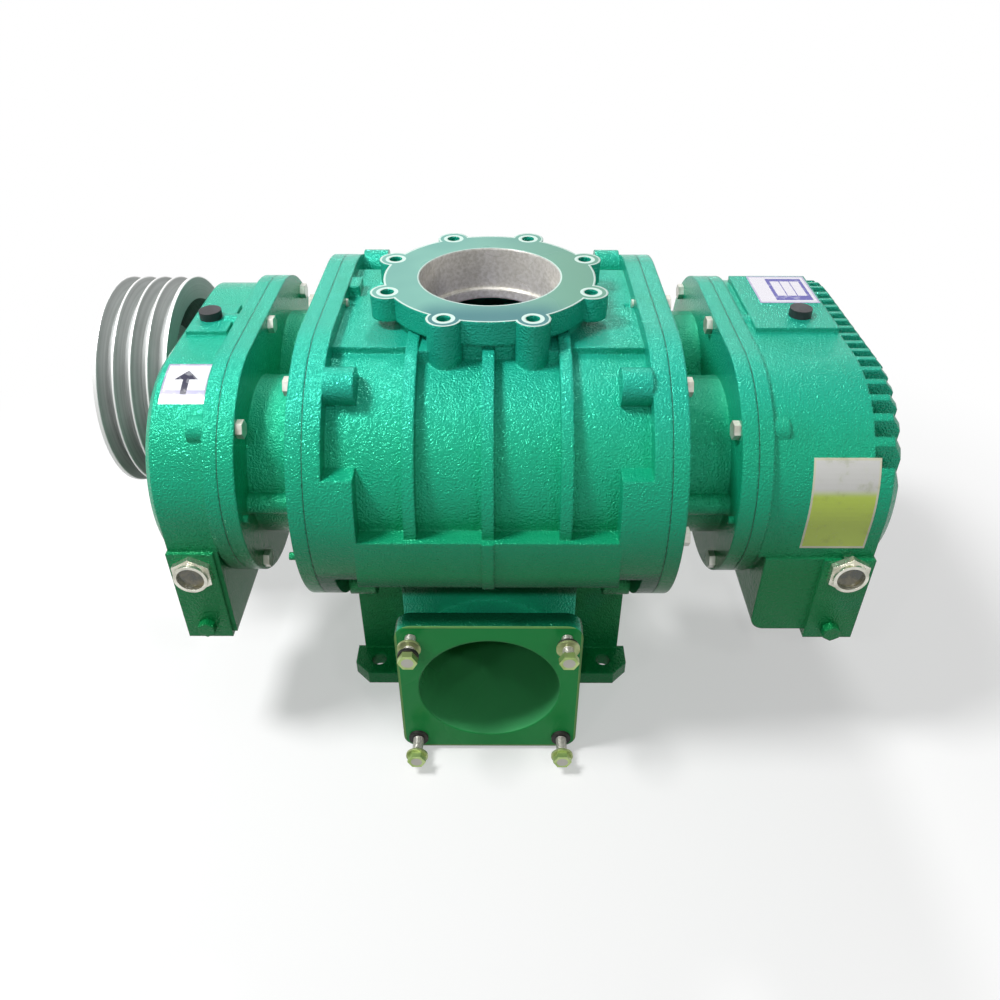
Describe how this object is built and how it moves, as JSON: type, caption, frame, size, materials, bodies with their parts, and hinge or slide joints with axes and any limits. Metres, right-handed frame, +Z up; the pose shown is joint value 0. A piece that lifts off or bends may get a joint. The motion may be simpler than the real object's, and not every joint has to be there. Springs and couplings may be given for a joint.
{
  "type": "roots vacuum pump",
  "caption": "Three-lobe roots vacuum pump: cast casing with a top inlet and front outlet, timing gears, finned gear cover, oil box and a belt pulley.",
  "frame": {"origin": "centre of the four foot bolt holes, on the underside of the feet", "axes": "+X along the rotors from the pulley towards the gear end, +Y to the back, away from the outlet, +Z up towards the inlet"},
  "size_m": [0.841, 0.5025, 0.488],
  "materials": {
    "green_enamel": "glossy hammered enamel over cast iron",
    "gasket_sheet": "dark jointing sheet",
    "rotor_iron": "machined grey iron",
    "pulley_iron": "turned grey iron with bright rims",
    "bush_iron": "phosphated grey iron",
    "shaft_steel": "ground steel",
    "gear_steel": "hobbed steel, oiled",
    "bearing_steel": "ground bearing steel",
    "sight_lens": "oil-filled glass",
    "nickel_collar": "nickel plated",
    "black_plastic": "moulded black plastic",
    "drain_steel": "enamelled over steel",
    "seal_rubber": "nitrile rubber",
    "black_steel": "black oxide",
    "zinc_steel": "zinc plated",
    "bolt_steel": "steel, painted over with the casting",
    "retainer_enamel": "glossy enamel",
    "inner_steel": "plain steel"
  },
  "bodies": {
    "casing_group": {"bearing_circlips": "inner_steel", "casing": "green_enamel", "cover_bolts": "bolt_steel", "dowel_pins": "inner_steel", "drive_gear_end_bearing_outer_ring": "bearing_steel", "drive_pulley_end_bearing_outer_ring": "bearing_steel", "drive_shaft_oil_seal": "seal_rubber", "driven_gear_end_bearing_outer_ring": "bearing_steel", "driven_pulley_end_bearing_outer_ring": "bearing_steel", "end_plate_bolts": "bolt_steel", "gear_end_cover": "green_enamel", "gear_end_cover_gasket": "gasket_sheet", "gear_end_drain_plug": "drain_steel", "gear_end_filler_plug": "black_plastic", "gear_end_plate": "green_enamel", "gear_end_plate_gasket": "gasket_sheet", "gear_end_sight_glass_body": "nickel_collar", "gear_end_sight_glass_lens": "sight_lens", "oil_seal_retainer": "retainer_enamel", "oil_seal_retainer_bolts": "bolt_steel", "outlet_bolts": "zinc_steel", "outlet_flat_washers": "zinc_steel", "outlet_spring_washers": "black_steel", "pulley_end_cover": "green_enamel", "pulley_end_cover_gasket": "gasket_sheet", "pulley_end_drain_plug": "drain_steel", "pulley_end_filler_plug": "black_plastic", "pulley_end_plate": "green_enamel", "pulley_end_plate_gasket": "gasket_sheet", "pulley_end_sight_glass_body": "nickel_collar", "pulley_end_sight_glass_lens": "sight_lens"},
    "drive_rotor_group": {"drive_bearing_nut": "inner_steel", "drive_gear_end_bearing_inner_ring": "bearing_steel", "drive_gear_end_bearing_rollers": "bearing_steel", "drive_gear_end_seal_sleeve": "inner_steel", "drive_gear_key": "inner_steel", "drive_gear_nut": "inner_steel", "drive_oil_slinger": "inner_steel", "drive_pulley_end_bearing_inner_ring": "bearing_steel", "drive_pulley_end_bearing_rollers": "bearing_steel", "drive_pulley_end_seal_sleeve": "inner_steel", "drive_rotor": "rotor_iron", "drive_shaft": "shaft_steel", "drive_timing_gear": "gear_steel", "pulley": "pulley_iron", "pulley_bush": "bush_iron", "pulley_key": "inner_steel"},
    "driven_rotor_group": {"driven_bearing_nut": "inner_steel", "driven_gear_end_bearing_inner_ring": "bearing_steel", "driven_gear_end_bearing_rollers": "bearing_steel", "driven_gear_end_seal_sleeve": "inner_steel", "driven_gear_key": "inner_steel", "driven_gear_nut": "inner_steel", "driven_oil_slinger": "inner_steel", "driven_pulley_end_bearing_inner_ring": "bearing_steel", "driven_pulley_end_bearing_rollers": "bearing_steel", "driven_pulley_end_seal_sleeve": "inner_steel", "driven_rotor": "rotor_iron", "driven_shaft": "shaft_steel", "driven_timing_gear": "gear_steel"}
  },
  "joints": [
    {"name": "drive_shaft_spin", "type": "hinge", "parent": "casing_group", "child": "drive_rotor_group", "pos_m": [0, 0.08, 0.314], "axis": [1, 0, 0], "continuous": true},
    {"name": "driven_shaft_spin", "type": "hinge", "parent": "casing_group", "child": "driven_rotor_group", "pos_m": [0, -0.08, 0.314], "axis": [1, 0, 0], "continuous": true}
  ],
  "couplings": [
    {"joint": "driven_shaft_spin", "follows": "drive_shaft_spin", "ratio": -1}
  ]
}
